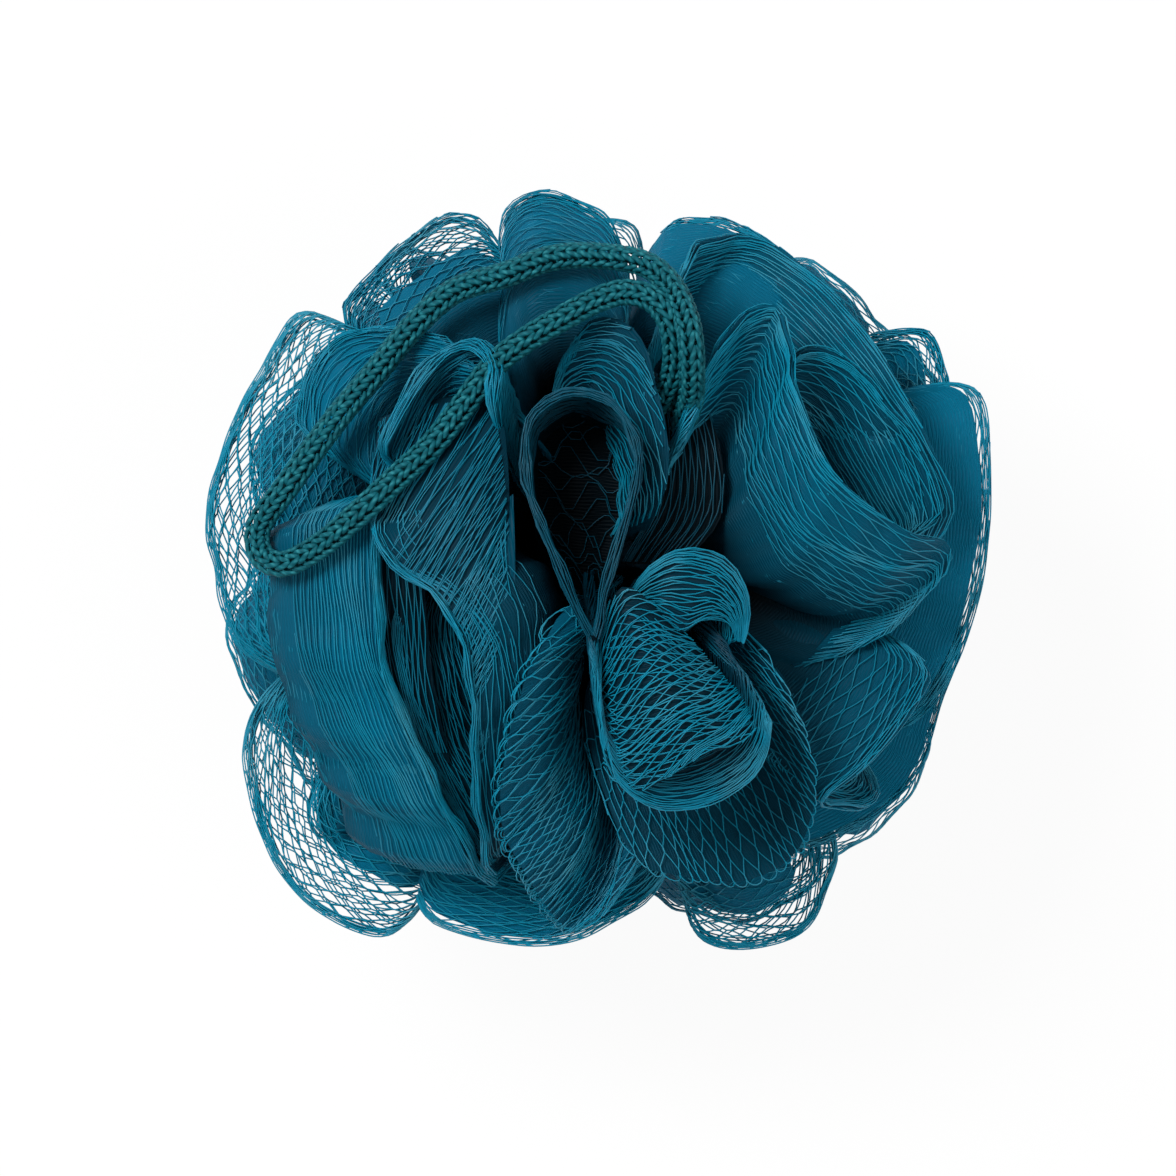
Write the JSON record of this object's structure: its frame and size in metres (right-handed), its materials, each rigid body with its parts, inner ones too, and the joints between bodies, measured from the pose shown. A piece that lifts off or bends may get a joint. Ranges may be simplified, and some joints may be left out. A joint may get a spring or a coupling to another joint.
{
  "type": "mesh bath pouf",
  "caption": "Round bath pouf of gathered netting: ruffled folds round a tied core, with a knitted hanging loop laid over its face.",
  "frame": {"origin": "on the table, under the middle of the netting's box", "axes": "+Z out of the pouf's face, away from the table; +X to the right of the face and +Y to its top, as the picture shows it"},
  "size_m": [0.1201, 0.1167, 0.0954],
  "materials": {
    "net": "knotted polyethylene netting, petrol blue, soft satin sheen",
    "cord": "knitted polypropylene cord, dull green teal"
  },
  "bodies": {
    "root": {"netting": "net", "centre_tie": "cord", "hanging_loop": "cord", "cord_knot": "cord"}
  },
  "joints": []
}
